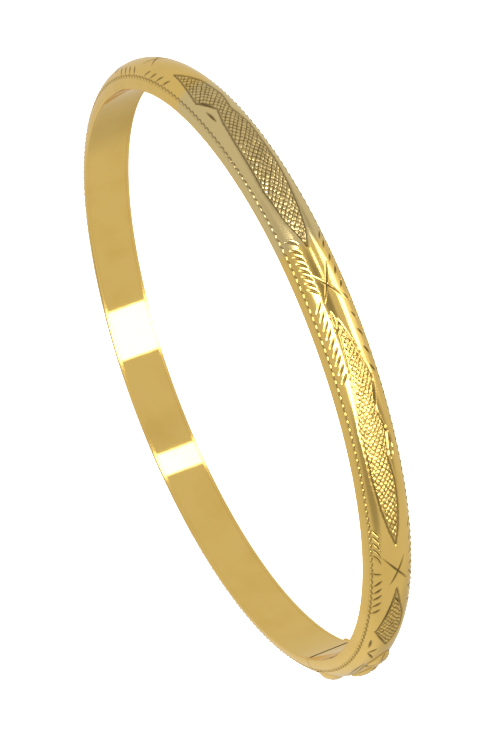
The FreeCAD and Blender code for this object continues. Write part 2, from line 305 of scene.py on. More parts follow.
class BangleStudio(bpy.types.PropertyGroup):
    """Camera and light."""

    azimuth: FloatProperty(
        name="Camera azimuth", description="Turn of the camera round the bangle",
        default=math.radians(182.079), subtype="ANGLE",
    )
    elevation: FloatProperty(
        name="Camera elevation", description="Height of the camera above the bangle's plane",
        default=math.radians(18.732), subtype="ANGLE",
    )
    roll: FloatProperty(
        name="Camera roll", description="Clockwise turn of the camera about its own axis",
        default=math.radians(110.381), subtype="ANGLE",
    )
    distance: FloatProperty(
        name="Camera distance", description="From the camera to the bangle's middle",
        default=0.40208, unit="LENGTH",
    )
    slide: FloatVectorProperty(
        name="Camera slide", description="Sideways and upward step of the camera",
        size=2, default=(0.00096, 0.00024), subtype="XYZ", unit="LENGTH",
    )
    lens: FloatProperty(name="Lens", description="Focal length in millimetres", default=205.15)
    room: FloatProperty(
        name="Room brightness", description="Brightness of the room that the gold reflects",
        default=0.70,
    )
    softbox: FloatProperty(
        name="Softbox brightness", description="Brightness of the softboxes", default=5.0
    )


# ---------------------------------------------------------------- small helpers


def settings():
    """The add-on's settings on the scene."""
    return bpy.context.scene.bangle


def new_piece(name, bm, body, material):
    """Turn a bmesh in millimetres into a finished piece that rides on a body."""
    bmesh.ops.scale(bm, vec=(MM, MM, MM), verts=bm.verts)
    mesh = bpy.data.meshes.new(name)
    for face in bm.faces:
        face.smooth = True
    bm.to_mesh(mesh)
    bm.free()
    mesh.materials.append(material)
    piece = bpy.data.objects.new(name, mesh)
    bpy.context.scene.collection.objects.link(piece)
    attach(piece, body)
    return piece


def half_gap(gap):
    """The angle in degrees that half of a gap between the two halves takes up."""
    return math.degrees(gap / 2 / INNER_RADIUS)


def mark_creases(bm, angle=math.radians(40)):
    """Keep corners crisp where two faces meet at more than the angle."""
    for edge in bm.edges:
        if len(edge.link_faces) == 2 and edge.calc_face_angle(0.0) > angle:
            edge.smooth = False


def at_clasp(bm):
    """Turn a shape built on the +X axis to the clasp's place on the ring."""
    turn = Matrix.Rotation(math.radians(CLASP_ANGLE), 3, "Z")
    bmesh.ops.rotate(bm, cent=(0, 0, 0), matrix=turn, verts=bm.verts)


def dome_arc(shoulder, top, half_width):
    """Centre and radius of the circle through both shoulders and the top of a dome."""
    rise = top - shoulder
    radius = (half_width**2 + rise**2) / (2 * rise)
    return top - radius, radius


DOME_CENTRE, DOME_RADIUS = dome_arc(INNER_RADIUS + RIM_LAND, OUTER_RADIUS, HALF_WIDTH)
CAVITY_SHOULDER = INNER_RADIUS + SHELL_WALL
CAVITY_CENTRE, CAVITY_RADIUS = dome_arc(
    CAVITY_SHOULDER, OUTER_RADIUS - SHELL_WALL, LINER_HALF_WIDTH
)


def across(level):
    """Distance over the dome from its crown, for a height above the band's middle."""
    return DOME_RADIUS * np.arcsin(np.clip(np.asarray(level) / DOME_RADIUS, -1, 1))


def along(angle):
    """Distance round the dome, for an angle in degrees."""
    return np.radians(angle) * OUTER_RADIUS


# ---------------------------------------------------------------- engraving


def scatter(first, second, seed):
    """A repeatable number between 0 and 1 for a pair of whole numbers."""
    value = np.sin(first * 12.9898 + second * 78.233 + seed * 37.719) * 43758.5453
    return value - np.floor(value)


class Relief:
    """Adds up the graver's work over points of the dome, as heights and two masks."""

    def __init__(self, angles, levels):
        self.angle = angles
        self.x = along(angles)
        self.s = across(levels)
        self.height = np.zeros_like(self.x)
        self.cut = np.zeros_like(self.x)
        self.matt = np.zeros_like(self.x)

    def stroke(self, start, end, width, depth, bow=0.0):
        """One tapering cut between two places, with one steep wall and one flat one."""
        x0, x1 = along(start[0]), along(end[0])
        s0, s1 = across(start[1]), across(end[1])
        margin = 2 * width + abs(bow)
        near = np.flatnonzero(
            (self.x > min(x0, x1) - margin) & (self.x < max(x0, x1) + margin)
            & (self.s > min(s0, s1) - margin) & (self.s < max(s0, s1) + margin)
        )
        if near.size == 0:
            return
        run = np.array((x1 - x0, s1 - s0))
        length = math.hypot(*run)
        px, ps = self.x[near] - x0, self.s[near] - s0
        share = np.clip((px * run[0] + ps * run[1]) / length**2, 0, 1)
        side = (px * run[1] - ps * run[0]) / length - bow * np.sin(math.pi * share)
        ends = np.hypot(px - share * run[0], ps - share * run[1])
        gap = np.maximum(np.abs(side), ends * (np.abs(share - 0.5) > 0.499))
        taper = np.sin(math.pi * np.clip(share, 0.02, 0.98)) ** 0.45
        lean = np.where(side > 0, 1.35, 0.65)
        wall = np.clip(1 - gap / (width * taper * lean), 0, 1)
        burr = np.clip(1 - np.abs(gap / (width * taper * lean) - 1.25) / 0.35, 0, 1)
        self.height[near] = np.minimum(self.height[near], -depth * taper * wall)
        self.height[near] += 0.12 * depth * burr * (self.height[near] > -1e-6)
        self.cut[near] = np.maximum(self.cut[near], np.minimum(1.0, 1.5 * wall) * taper)

    def panel(self, outlines, start, stretch, work):
        """A hatched panel between two outlines, with the cut round it."""
        upper, lower = outlines
        low, high = start, start + upper[-1][0] * stretch
        near = np.flatnonzero((self.angle > low - 1) & (self.angle < high + 1))
        if near.size == 0:
            return
        angle, s, x = self.angle[near], self.s[near], self.x[near]
        gaps = []
        for sign, line in ((1, upper), (-1, lower)):
            places = start + np.array([place for place, _ in line]) * stretch
            levels = across([level for _, level in line])
            slope = np.gradient(levels, along(places))
            lean = np.hypot(1, np.interp(angle, places, slope))
            gaps.append(sign * (np.interp(angle, places, levels) - s) / lean)
        inside = np.minimum(np.minimum(*gaps), along(np.minimum(angle - low, high - angle)))
        inside += 0.02 * np.sin(x * 9.0) * np.sin(s * 7.0)
        edge = np.clip(1 - np.abs(inside) / work.outline_width, 0, 1)
        field = np.clip(inside / (0.8 * work.outline_width) - 0.5, 0, 1)
        drift = 0.10 * np.sin(x * 0.9) + 0.05 * np.sin(x * 2.3 + s * 3.1)
        first = x / work.hatch_length + (s + drift) / work.hatch_width
        second = x / work.hatch_length - (s + drift) / work.hatch_width
        row, column = np.floor(first), np.floor(second)
        across_1, across_2 = 2 * (first - row) - 1, 2 * (second - column) - 1
        wide = 0.12 + 0.10 * scatter(row, column, 1)
        rim = np.maximum(np.abs(across_1), np.abs(across_2))
        groove = np.clip((rim - 1) / (3 * wide) + 1, 0, 1)
        tilt = (scatter(row, column, 2) - 0.5) * across_1
        tilt += (scatter(row, column, 3) - 0.5) * across_2
        sunk = 0.35 * scatter(row, column, 4)
        height = -work.hatch_depth * (0.15 + sunk + (0.85 - sunk) * groove + 0.55 * tilt) * field
        height = np.minimum(height, 0) - work.outline_depth * edge
        self.height[near] = np.minimum(self.height[near], height)
        dark = np.maximum(edge, field * np.clip((groove - 0.30) / 0.55, 0, 1))
        self.cut[near] = np.maximum(self.cut[near], dark)
        self.matt[near] = np.maximum(self.matt[near], field)

    def fan(self, first, last, count, low, high, lean, work):
        """A fan of leaf cuts on the upper flank, with half as many on the lower one."""
        for rank, middle in enumerate(np.linspace(first, last, count)):
            wobble = float(scatter(rank, first, 5)) - 0.5
            start, end = middle - lean / 2, middle + lean / 2 + 0.3 * wobble
            reach = 0.10 * wobble * (high - low)
            width, depth = work.leaf_width, work.leaf_depth
            self.stroke((start, low - reach), (end, high + reach), width, depth, 0.04)
            if rank % 2 == 0:
                outer, inner = -max(low, 1.25), -max(high, 1.25)
                self.stroke((start, outer + reach), (end, inner - reach), width, 0.8 * depth)

    def rope_edge(self, flank, work):
        """The rope line along one edge: a scalloped cut with a bead in each scallop."""
        row = self.s - flank * across(work.bead_level)
        near = np.flatnonzero(np.abs(row) < 0.34)
        gap = row[near] * flank
        turn = np.radians(self.angle[near]) / work.bead_pitch + gap * 0.5
        swell = np.abs(np.sin(math.pi * turn))
        line = gap + 0.18 * swell - 0.09
        cut = np.clip(1.15 - np.abs(line) / 0.095, 0, 1)
        bead = swell**0.8 * np.clip(1 - ((gap + 0.02) / 0.15) ** 2, 0, 1)
        bead = bead * (line > 0)
        second = np.clip(1 - np.abs(gap - 0.17 - 0.04 * swell) / 0.06, 0, 1)
        cut = np.maximum(cut, 0.45 * second)
        self.height[near] += work.bead_height * bead - 0.08 * cut
        self.cut[near] = np.maximum(self.cut[near], 0.75 * cut)

    def boss(self, place, length, width, rise):
        """A low leaf-shaped boss raised on the dome."""
        reach_x = (self.x - along(place[0])) / length
        reach_s = (self.s - across(place[1])) / width
        far = np.hypot(reach_x, reach_s * (1 + 0.45 * reach_x))
        crest = np.clip(1 - far**2, 0, 1) ** 0.55
        vein = np.clip(1 - np.abs(reach_s - 0.25 * np.sin(3.0 * reach_x)) / 0.14, 0, 1)
        self.height += rise * crest - 0.09 * vein * (crest > 0.25)
        ring = np.clip(1 - np.abs(far - 1.04) / 0.10, 0, 1)
        self.height -= 0.05 * ring
        self.cut = np.maximum(self.cut, np.maximum(0.8 * ring, 0.7 * vein * (crest > 0.3)))


def engrave(angles, levels, work):
    """Everything that is cut in the dome, as heights in millimetres and two masks."""
    relief = Relief(angles, levels)
    for outlines, start, stretch in PANELS:
        relief.panel(outlines, start, stretch, work)
    for cross in CROSSES:
        for start, end in cross:
            relief.stroke(start, end, *CROSS_CUT)
    for fan in FANS:
        relief.fan(*fan, work)
    for start, end in BOLD_CUTS:
        relief.stroke(start, end, *BOLD_CUT)
    *scroll, bow = SCROLL
    for side in (1, -1):
        relief.stroke(*scroll, side * bow)
    for boss in BOSSES:
        relief.boss(*boss)
    for flank in (-1, 1):
        relief.rope_edge(flank, work)
    return relief.height, relief.cut, relief.matt


# ---------------------------------------------------------------- geometry


def spin_arc(bm, start, centre, angle, steps):
    """Sweep one vertex round the Y axis into an arc of edges and return its last vertex."""
    swept = bmesh.ops.spin(
        bm, geom=[start], cent=(centre, 0, 0), axis=(0, 1, 0), angle=angle, steps=steps
    )
    return [item for item in swept["geom_last"] if isinstance(item, bmesh.types.BMVert)][0]


def run_to(bm, start, radius, level):
    """Draw a straight edge of the section to a radius and a level."""
    end = bm.verts.new((radius, 0, level))
    bm.edges.new((start, end))
    return end


def shell_section(bm, columns):
    """The closed section of a shell: the dome, both turned-in rims and the inside of the dome."""
    shoulder = INNER_RADIUS + RIM_LAND
    soft = RIM_SOFTNESS
    first = bm.verts.new((shoulder, 0, HALF_WIDTH))
    sweep = 2 * math.asin(HALF_WIDTH / DOME_RADIUS)
    point = spin_arc(bm, first, DOME_CENTRE, sweep, columns)
    point = run_to(bm, point, INNER_RADIUS + soft, -HALF_WIDTH)
    point = run_to(bm, point, INNER_RADIUS, -HALF_WIDTH + soft)
    point = run_to(bm, point, INNER_RADIUS, -LINER_HALF_WIDTH)
    point = run_to(bm, point, CAVITY_SHOULDER, -LINER_HALF_WIDTH)
    inside = 2 * math.asin(LINER_HALF_WIDTH / CAVITY_RADIUS)
    point = spin_arc(bm, point, CAVITY_CENTRE, -inside, columns // 8)
    point = run_to(bm, point, INNER_RADIUS, LINER_HALF_WIDTH)
    point = run_to(bm, point, INNER_RADIUS, HALF_WIDTH - soft)
    point = run_to(bm, point, INNER_RADIUS + soft, HALF_WIDTH)
    bm.edges.new((point, first))


def liner_section(bm):
    """The closed section of an inner band, with its edges just broken."""
    soft = BAND_SOFTNESS
    corners = (
        (INNER_RADIUS, LINER_HALF_WIDTH - soft), (INNER_RADIUS + soft, LINER_HALF_WIDTH),
        (LINER_RADIUS, LINER_HALF_WIDTH), (LINER_RADIUS, -LINER_HALF_WIDTH),
        (INNER_RADIUS + soft, -LINER_HALF_WIDTH), (INNER_RADIUS, -LINER_HALF_WIDTH + soft),
    )
    point = first = bm.verts.new((corners[0][0], 0, corners[0][1]))
    for radius, level in corners[1:]:
        point = run_to(bm, point, radius, level)
    last = point
    for share in (0.75, 0.5, 0.25):
        level = (2 * share - 1) * (-LINER_HALF_WIDTH + soft)
        last = run_to(bm, last, INNER_RADIUS, level)
    bm.edges.new((last, first))


def sweep_band(bm, start, end, step):
    """Turn a closed section from one angle to another and cap both ends."""
    section = bm.edges[:]
    turn = Matrix.Rotation(math.radians(start), 3, "Z")
    bmesh.ops.rotate(bm, cent=(0, 0, 0), matrix=turn, verts=bm.verts)
    sweep = math.radians(end - start)
    steps = max(1, round(sweep / step))
    swept = bmesh.ops.spin(
        bm, geom=bm.verts[:] + section, cent=(0, 0, 0), axis=(0, 0, 1), angle=sweep, steps=steps
    )
    last = [item for item in swept["geom_last"] if isinstance(item, bmesh.types.BMEdge)]
    for loop in (section, last):
        bmesh.ops.contextual_create(bm, geom=loop)
    bmesh.ops.recalc_face_normals(bm, faces=bm.faces)


def cut_relief(piece, work):
    """Move the dome's vertices in and out by the engraving, and store its masks."""
    mesh = piece.data
    count = len(mesh.vertices)
    places = np.empty(3 * count)
    mesh.vertices.foreach_get("co", places)
    places = places.reshape(-1, 3) / MM
    radius = np.hypot(places[:, 0], places[:, 1])
    offset = radius - DOME_CENTRE
    on_dome = np.abs(np.hypot(offset, places[:, 2]) - DOME_RADIUS) < 1e-3
    on_dome &= radius > INNER_RADIUS + RIM_LAND + 0.02
    rows = np.flatnonzero(on_dome)
    angles = np.degrees(np.arctan2(places[rows, 1], places[rows, 0]))
    angles = np.where(angles < CLASP_ANGLE - 1, angles + 360, angles)
    height, cut, matt = engrave(angles, places[rows, 2], work)
    outward = places[rows].copy()
    outward[:, :2] *= (offset[rows] / radius[rows])[:, None]
    outward /= DOME_RADIUS
    places[rows] += height[:, None] * outward
    mesh.vertices.foreach_set("co", (places * MM).ravel())
    # The pale mask marks where a painted reflection, a paler gold, goes round the long panels.
    pale = np.zeros_like(angles)
    for outlines, start, stretch in PANELS:
        if outlines is LONG_PANEL:
            middle = start + outlines[0][-1][0] * stretch * REFLECTION_MIDDLE
            pale += np.clip((REFLECTION_REACH - np.abs(angles - middle)) / REFLECTION_EDGE, 0, 1)
    for name, values in (("cut", cut), ("matt", matt), ("pale", pale)):
        whole = np.zeros(count)
        whole[rows] = values
        layer = mesh.attributes.new(name, "FLOAT", "POINT")
        layer.data.foreach_set("value", whole)
    mesh.update()


def temporary(name, bm):
    """An object in millimetres that only lives while a shape is carved."""
    mesh = bpy.data.meshes.new(name)
    bm.to_mesh(mesh)
    bm.free()
    shape = bpy.data.objects.new(name, mesh)
    bpy.context.scene.collection.objects.link(shape)
    return shape


def carve(bm, cutters):
    """The shape with every cutter taken out of it."""
    blank = temporary("blank", bm)
    tools = [temporary("tool", cutter) for cutter in cutters]
    for tool in tools:
        modifier = blank.modifiers.new("carve", "BOOLEAN")
        modifier.operation = "DIFFERENCE"
        modifier.solver = "EXACT"
        modifier.object = tool
    graph = bpy.context.evaluated_depsgraph_get()
    mesh = bpy.data.meshes.new_from_object(blank.evaluated_get(graph), depsgraph=graph)
    carved = bmesh.new()
    carved.from_mesh(mesh)
    bpy.data.meshes.remove(mesh)
    for shape in (blank, *tools):
        bpy.data.meshes.remove(shape.data)
    return carved


def raise_face(bm, rise):
    """Extrude the only face of a shape into a solid."""
    raised = bmesh.ops.extrude_face_region(bm, geom=bm.faces[:])
    moved = [item for item in raised["geom"] if isinstance(item, bmesh.types.BMVert)]
    bmesh.ops.translate(bm, vec=rise, verts=moved)
    bmesh.ops.recalc_face_normals(bm, faces=bm.faces)


def barrel_pocket():
    """The round pocket round the hinge's barrel."""
    bm = bmesh.new()
    bmesh.ops.create_cone(
        bm, cap_ends=True, segments=64, radius1=POCKET_RADIUS, radius2=POCKET_RADIUS,
        depth=2 * POCKET_HALF_WIDTH,
    )
    bmesh.ops.translate(bm, vec=(-HINGE_RADIUS, 0, 0), verts=bm.verts)
    return bm


def turning_wedge(side):
    """The wedge outside the hinge's axis that lets a half swing; side is 1 near, -1 far."""
    bm = bmesh.new()
    reach = RELIEF_REACH
    axis = -HINGE_RADIUS
    corners = (
        (axis, 0),
        (axis - reach * math.cos(RELIEF_ANGLE), side * reach * math.sin(RELIEF_ANGLE)),
        (axis - reach, -side * reach),
        (axis, -side * reach),
    )
    loop = [bm.verts.new((x, y, -reach)) for x, y in corners]
    bmesh.ops.contextual_create(bm, geom=loop)
    raise_face(bm, (0, 0, 2 * reach))
    return bm


def thumb_box():
    """The thumb piece's lowest and highest corners, on the clasp's own axes."""
    back = Matrix.Rotation(-math.radians(CLASP_ANGLE), 3, "Z")
    places = [back @ vert.co / MM for vert in frame["nodes"]["thumb_piece"].data.vertices]
    low = Vector([min(place[axis] for place in places) for axis in range(3)])
    high = Vector([max(place[axis] for place in places) for axis in range(3)])
    return low, high


def thumb_notch():
    """The notch that the thumb piece sinks into, open towards the seam."""
    low, high = thumb_box()
    middle = (low + high) / 2
    middle.x = NOTCH_FLOOR
    half = (high - low) / 2 + Vector((0, NOTCH_CLEARANCE, NOTCH_CLEARANCE))
    bm = bmesh.new()
    bmesh.ops.create_circle(bm, cap_ends=True, segments=64, radius=1.0)
    for vert in bm.verts:
        open_end = NOTCH_OPEN_SHARE if vert.co.x < 0 else 1.0
        vert.co = middle + Vector((0, open_end * half.y * vert.co.x, half.z * vert.co.y))
    raise_face(bm, (NOTCH_HEIGHT, 0, 0))
    at_clasp(bm)
    return bm


def shell_arc(name, start, end, body, node, material, cutters):
    """One stretch of an engraved shell."""
    sizes = settings().sizes
    bm = bmesh.new()
    shell_section(bm, sizes.dome_columns)
    sweep_band(bm, start, end, sizes.arc_step)
    if cutters:
        bm = carve(bm, cutters)
    mark_creases(bm)
    piece = new_piece(name, bm, body, material)
    cut_relief(piece, settings().engraving)
    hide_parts(node)
    return piece


# ---------------------------------------------------------------- materials


def add_node(tree, kind, place, **values):
    """Add a node, place it and set its plain properties."""
    node = tree.nodes.new(kind)
    node.location = (place[0] * 200, place[1] * 200)
    for key, value in values.items():
        setattr(node, key, value)
    return node


def wear_group():
    """Node group: fine hairlines, handling dents and cloudy polish over the gold."""
    name = "gold_wear"
    if name in bpy.data.node_groups:
        return bpy.data.node_groups[name]
    tree = bpy.data.node_groups.new(name, "ShaderNodeTree")
    face = tree.interface
    scale = face.new_socket("Scale", in_out="INPUT", socket_type="NodeSocketFloat")
    scale.default_value = 1.0
    rough = face.new_socket("Roughness", in_out="INPUT", socket_type="NodeSocketFloat")
    rough.default_value = 0.12
    face.new_socket("Cloud", in_out="OUTPUT", socket_type="NodeSocketFloat")
    face.new_socket("Roughness", in_out="OUTPUT", socket_type="NodeSocketFloat")
    face.new_socket("Height", in_out="OUTPUT", socket_type="NodeSocketFloat")
    start = add_node(tree, "NodeGroupInput", (-6, 0))
    end = add_node(tree, "NodeGroupOutput", (3, 0))
    coords = add_node(tree, "ShaderNodeTexCoord", (-6, 2))
    grow = add_node(tree, "ShaderNodeVectorMath", (-5, 1), operation="SCALE")
    tree.links.new(coords.outputs["Object"], grow.inputs[0])
    tree.links.new(start.outputs["Scale"], grow.inputs["Scale"])

    def noise(place, size, detail, stretch=(1, 1, 1)):
        mapping = add_node(tree, "ShaderNodeMapping", (place[0] - 1, place[1]))
        mapping.inputs["Scale"].default_value = stretch
        texture = add_node(tree, "ShaderNodeTexNoise", place)
        texture.inputs["Scale"].default_value = size
        texture.inputs["Detail"].default_value = detail
        tree.links.new(grow.outputs[0], mapping.inputs["Vector"])
        tree.links.new(mapping.outputs["Vector"], texture.inputs["Vector"])
        return texture.outputs["Fac"]

    cloud = noise((-3, 2), 260, 3)
    hairline = noise((-3, 1), 1500, 2, (0.12, 0.12, 2.2))
    dents = noise((-3, 0), 900, 1)
    spread = add_node(tree, "ShaderNodeMapRange", (-1, 1))
    spread.inputs["From Min"].default_value = 0.35
    spread.inputs["From Max"].default_value = 0.65
    spread.inputs["To Min"].default_value = 0.75
    spread.inputs["To Max"].default_value = 1.35
    tree.links.new(cloud, spread.inputs["Value"])
    final_rough = add_node(tree, "ShaderNodeMath", (1, 1), operation="MULTIPLY")
    tree.links.new(spread.outputs["Result"], final_rough.inputs[0])
    tree.links.new(start.outputs["Roughness"], final_rough.inputs[1])
    height = add_node(tree, "ShaderNodeMath", (0, -1), operation="MULTIPLY_ADD")
    height.inputs[1].default_value = 0.35
    tree.links.new(hairline, height.inputs[0])
    tree.links.new(dents, height.inputs[2])
    tree.links.new(cloud, end.inputs["Cloud"])
    tree.links.new(final_rough.outputs[0], end.inputs["Roughness"])
    tree.links.new(height.outputs[0], end.inputs["Height"])
    return tree


def gold_material(name, light, deep, roughness, relief, scale=1.0):
    """Polished gold with cloudy colour, uneven polish and fine wear."""
    material = bpy.data.materials.new(name)
    material.use_nodes = True
    tree = material.node_tree
    shader = tree.nodes["Principled BSDF"]
    shader.inputs["Metallic"].default_value = 1.0
    shader.inputs["Specular Tint"].default_value = (1.0, 0.94, 0.80, 1.0)
    wear = add_node(tree, "ShaderNodeGroup", (-4, 0), node_tree=wear_group())
    wear.inputs["Scale"].default_value = scale
    wear.inputs["Roughness"].default_value = roughness
    ramp = add_node(tree, "ShaderNodeMix", (-2, 1), data_type="RGBA")
    ramp.inputs["A"].default_value = light
    ramp.inputs["B"].default_value = deep
    soften = add_node(tree, "ShaderNodeMapRange", (-3, 1))
    soften.inputs["From Min"].default_value = 0.45
    soften.inputs["From Max"].default_value = 0.80
    tree.links.new(wear.outputs["Cloud"], soften.inputs["Value"])
    tree.links.new(soften.outputs["Result"], ramp.inputs["Factor"])
    tree.links.new(ramp.outputs["Result"], shader.inputs["Base Color"])
    tree.links.new(wear.outputs["Roughness"], shader.inputs["Roughness"])
    bump = add_node(tree, "ShaderNodeBump", (-2, -1))
    bump.inputs["Strength"].default_value = 0.6
    bump.inputs["Distance"].default_value = relief
    tree.links.new(wear.outputs["Height"], bump.inputs["Height"])
    tree.links.new(bump.outputs["Normal"], shader.inputs["Normal"])
    return material


def engraved_material(colours):
    """The shell's gold: patina in the cuts, a matt, paler gold in the hatched panels, and a
    painted reflection in paler, greyer gold round the long panels.
    """
    material = gold_material("engraved_gold", colours.gold, colours.gold_deep, 0.13, 0.000005)
    tree = material.node_tree
    shader = tree.nodes["Principled BSDF"]
    base = shader.inputs["Base Color"].links[0].from_socket
    rough = shader.inputs["Roughness"].links[0].from_socket
    cut = add_node(tree, "ShaderNodeAttribute", (-4, 3), attribute_name="cut")
    matt = add_node(tree, "ShaderNodeAttribute", (-4, 4), attribute_name="matt")
    pale = add_node(tree, "ShaderNodeAttribute", (-4, 6), attribute_name="pale")
    # Painted reflection: the colour is mixed towards a paler, greyer gold round the long panels.
    reflection_mix = add_node(tree, "ShaderNodeMix", (-1, 7), data_type="RGBA")
    reflection_mix.inputs["B"].default_value = colours.painted_reflection_gold
    tree.links.new(pale.outputs["Fac"], reflection_mix.inputs["Factor"])
    tree.links.new(base, reflection_mix.inputs["A"])
    base = reflection_mix.outputs["Result"]
    hatch = add_node(tree, "ShaderNodeMix", (-1, 3), data_type="RGBA")
    hatch.inputs["B"].default_value = colours.hatch_gold
    part = add_node(tree, "ShaderNodeMath", (-2, 4), operation="MULTIPLY")
    part.inputs[1].default_value = 0.25
    tree.links.new(matt.outputs["Fac"], part.inputs[0])
    tree.links.new(part.outputs[0], hatch.inputs["Factor"])
    tree.links.new(base, hatch.inputs["A"])
    stain = add_node(tree, "ShaderNodeMix", (0, 3), data_type="RGBA")
    stain.inputs["B"].default_value = colours.patina
    depth = add_node(tree, "ShaderNodeMath", (-1, 5), operation="MULTIPLY")
    depth.inputs[1].default_value = 0.92
    tree.links.new(cut.outputs["Fac"], depth.inputs[0])
    tree.links.new(depth.outputs[0], stain.inputs["Factor"])
    tree.links.new(hatch.outputs["Result"], stain.inputs["A"])
    tree.links.new(stain.outputs["Result"], shader.inputs["Base Color"])
    lift = add_node(tree, "ShaderNodeMath", (-1, 2), operation="MULTIPLY_ADD")
    lift.inputs[1].default_value = 0.10
    tree.links.new(matt.outputs["Fac"], lift.inputs[0])
    tree.links.new(rough, lift.inputs[2])
    tree.links.new(lift.outputs[0], shader.inputs["Roughness"])
    return material


def darker(colour, share):
    """A colour scaled towards black, with its alpha kept."""
    return tuple(channel * share for channel in colour[:3]) + (colour[3],)


def gold(name):
    """The finish of one material slot, made on first use."""
    made = [material for material in bpy.data.materials if material.get("bangle_finish") == name]
    if made:
        return made[0]
    colours = settings().gold
    if name == "engraved_gold":
        material = engraved_material(colours)
    else:
        light_share, deep_share, roughness, relief, scale = FINISHES[name]
        light = darker(colours.gold, light_share)
        deep = darker(colours.gold_deep, deep_share)
        material = gold_material(name, light, deep, roughness, relief, scale)
    material["bangle_finish"] = name
    return material


def thumb_pad():
    """The wedge-shaped pad, highest beside the seam, and the stem that carries it."""
    low, high = thumb_box()
    middle, half = (low + high) / 2, (high - low) / 2
    bm = bmesh.new()
    bmesh.ops.create_uvsphere(bm, u_segments=64, v_segments=32, radius=1.0)
    for vert in bm.verts:
        plan = math.hypot(vert.co.x, vert.co.y)
        turn = math.atan2(vert.co.y, vert.co.x)
        square = 0.45 if vert.co.x < 0 else 1.0
        reach = 0.985 * plan**0.55
        y = middle.y + half.y * reach * math.copysign(abs(math.cos(turn)) ** square, vert.co.x)
        z = middle.z + half.z * reach * math.copysign(abs(math.sin(turn)) ** square, vert.co.y)
        fall = min(max((y - low.y - PAD_CREST) / (high.y - low.y - PAD_CREST), 0), 1)
        crest = PAD_RISE - PAD_FALL * fall * fall * (3 - 2 * fall)
        lift = crest * vert.co.z if vert.co.z > 0 else -PAD_SINK
        radius = DOME_CENTRE + math.sqrt(DOME_RADIUS**2 - z * z) + lift
        vert.co = (math.sqrt(radius**2 - y * y), y, z)
    stem = bmesh.ops.create_cube(bm, size=1.0)["verts"]
    leaf_top = OUTER_RADIUS - STEM_LENGTH
    bmesh.ops.scale(bm, vec=(OUTER_RADIUS - leaf_top, 1.0, STEM_DEPTH), verts=stem)
    place = ((OUTER_RADIUS + leaf_top) / 2, low.y + STEM_PLACE[0], STEM_PLACE[1])
    bmesh.ops.translate(bm, vec=place, verts=stem)
    bmesh.ops.recalc_face_normals(bm, faces=bm.faces)
    at_clasp(bm)
    mark_creases(bm, math.radians(50))
    piece = new_piece("thumb_pad", bm, "tongue_leaf", gold("plain_gold"))
    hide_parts("thumb_piece")


def world_lobe(tree, direction, inner, outer):
    """A soft round patch of the room: 1 inside the inner angle, 0 past the outer one."""
    coords = add_node(tree, "ShaderNodeTexCoord", (-8, 0))
    aim = add_node(tree, "ShaderNodeVectorMath", (-7, 0), operation="DOT_PRODUCT")
    aim.inputs[1].default_value = direction
    ramp = add_node(tree, "ShaderNodeMapRange", (-6, 0), interpolation_type="SMOOTHSTEP")
    ramp.inputs["From Min"].default_value = math.cos(math.radians(outer))
    ramp.inputs["From Max"].default_value = math.cos(math.radians(inner))
    tree.links.new(coords.outputs["Generated"], aim.inputs[0])
    tree.links.new(aim.outputs["Value"], ramp.inputs["Value"])
    return ramp.outputs["Result"]


def toward(azimuth, elevation):
    """Unit vector for a direction in degrees."""
    a, e = math.radians(azimuth), math.radians(elevation)
    return (math.cos(a) * math.cos(e), math.sin(a) * math.cos(e), math.sin(e))


# ---------------------------------------------------------------- operators


class BANGLE_OT_shells(bpy.types.Operator):
    """Build the engraved shells of both halves"""

    bl_idname = "bangle.shells"
    bl_label = "Engraved shells"

    def execute(self, context):
        finish = gold("engraved_gold")
        hinge_seam = half_gap(HINGE_SEAM)
        clasp_seam = half_gap(CLASP_SEAM)
        near = (CLASP_ANGLE + clasp_seam, *NEAR_JOINS, HINGE_ANGLE - hinge_seam)
        far = (HINGE_ANGLE + hinge_seam, *FAR_JOINS, 360.0 + CLASP_ANGLE - clasp_seam)
        cutters = {
            ("near", 1): lambda: [thumb_notch()],
            ("near", 5): lambda: [barrel_pocket(), turning_wedge(1)],
            ("far", 1): lambda: [barrel_pocket(), turning_wedge(-1)],
        }
        for half, stops in (("near", near), ("far", far)):
            for number, (start, end) in enumerate(zip(stops, stops[1:]), 1):
                shell_arc(
                    f"{half}_shell_{number}", start, end, half + "_half", half + "_shell", finish,
                    cutters.get((half, number), list)(),
                )
        return {"FINISHED"}


class BANGLE_OT_liners(bpy.types.Operator):
    """Build the polished inner bands"""

    bl_idname = "bangle.liners"
    bl_label = "Inner bands"

    def execute(self, context):
        hinge_seam = half_gap(HINGE_SEAM)
        clasp_seam = half_gap(BAND_SEAM)
        spans = {
            "near": (CLASP_ANGLE + clasp_seam, HINGE_ANGLE - hinge_seam),
            "far": (HINGE_ANGLE + hinge_seam, 360.0 + CLASP_ANGLE - clasp_seam),
        }
        for half, (start, end) in spans.items():
            bm = bmesh.new()
            liner_section(bm)
            sweep_band(bm, start, end, BAND_STEP)
            mark_creases(bm)
            piece = new_piece(
                half + "_inner_band", bm, half + "_half", gold("polished_gold")
            )
            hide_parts(half + "_liner")
        return {"FINISHED"}


class BANGLE_OT_findings(bpy.types.Operator):
    """Give the hinge, the clasp and the safety catch their gold"""

    bl_idname = "bangle.findings"
    bl_label = "Hinge and clasp"

    def execute(self, context):
        thumb_pad()
        slots = {row["node"]: row["material_slot"] for row in frame["record"]["subparts"]}
        for name, node in frame["nodes"].items():
            # The plates in the seam get painted shade, a darkened gold, in place of their own
            # slot's gold.
            finish = "shaded_gold" if name in PAINTED_SHADE_NODES else slots[name]
            for place in node.material_slots:
                place.material = gold(finish)
        return {"FINISHED"}


